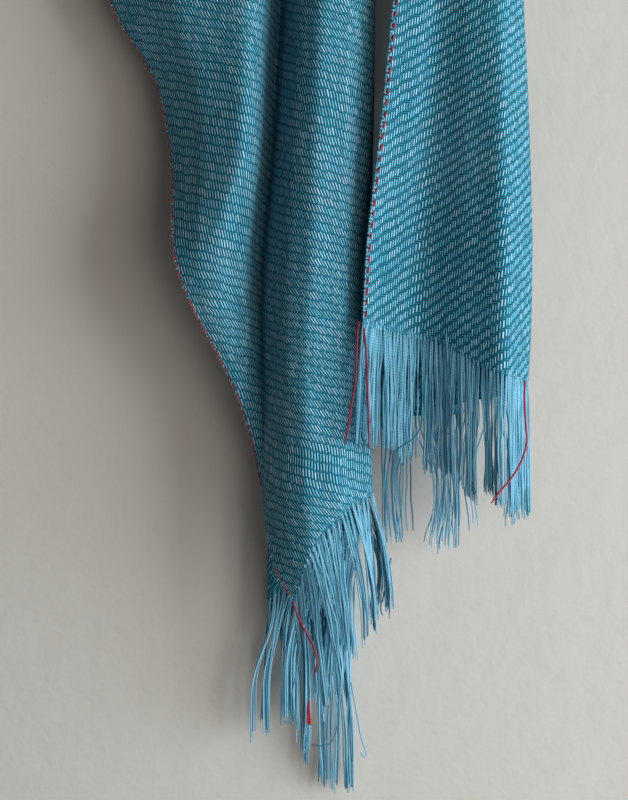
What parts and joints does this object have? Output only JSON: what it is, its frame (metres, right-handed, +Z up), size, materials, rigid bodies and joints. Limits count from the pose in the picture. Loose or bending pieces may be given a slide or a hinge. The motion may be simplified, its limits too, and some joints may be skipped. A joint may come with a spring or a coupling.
{
  "type": "rebozo shawl on a wall peg",
  "caption": "Hand-woven rebozo shawl, hung by its middle over a turned wooden wall peg, with two folded tails ending in loose yarn fringes.",
  "frame": {"origin": "middle of the wall plate's back face, where it sits on the wall", "axes": "+Z up, +Y into the wall, +X to the right as seen from the front; the shawl hangs on the -Y side"},
  "size_m": [0.3776, 0.15, 1.1868],
  "materials": {
    "cloth": "matt hand-woven twill",
    "yarn": "matt cotton yarn",
    "wood": "oiled turned wood"
  },
  "bodies": {
    "root": {"left_tail": "cloth", "right_tail": "cloth", "over_peg": "cloth", "left_fringe": "yarn", "right_fringe": "yarn", "peg": "wood", "wall_plate": "wood"}
  },
  "joints": []
}
